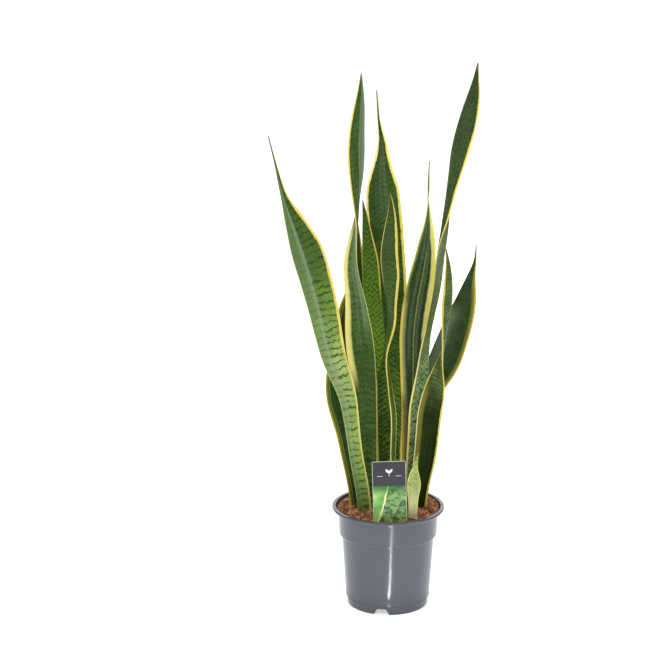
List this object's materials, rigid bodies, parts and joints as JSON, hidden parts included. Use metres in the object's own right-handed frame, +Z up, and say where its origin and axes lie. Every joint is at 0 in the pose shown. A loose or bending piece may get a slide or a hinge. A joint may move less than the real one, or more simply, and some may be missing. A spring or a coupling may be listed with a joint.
{
  "type": "potted snake plant",
  "caption": "Tall variegated snake plant with upright and twisted sword leaves, rooted in compost in a round plastic nursery pot, with a blank picture tag.",
  "frame": {"origin": "middle of the pot's foot, on the surface that the pot stands on", "axes": "+Z up along the pot's axis and the leaves; the plant's front, with the tag, faces -Y; +X to the right as seen from the front"},
  "size_m": [0.3095, 0.2063, 0.8311],
  "materials": {
    "pot": "satin",
    "soil": "rough, fibrous",
    "rhizome": "matte",
    "tag": "glossy print",
    "leaf": "waxy satin",
    "young_leaf": "waxy satin"
  },
  "bodies": {
    "root": {"pot": "pot", "soil": "soil", "rhizome": "rhizome", "plant_tag": "tag", "leaf_far_left": "leaf", "leaf_low_left": "leaf", "leaf_tall_left": "leaf", "leaf_mid_left": "leaf", "leaf_tall_back": "leaf", "leaf_front_twisted": "leaf", "leaf_mid_right": "leaf", "leaf_tall_right": "leaf", "leaf_leaning_right": "leaf", "leaf_right_twisted": "leaf", "leaf_young": "young_leaf"}
  },
  "joints": []
}
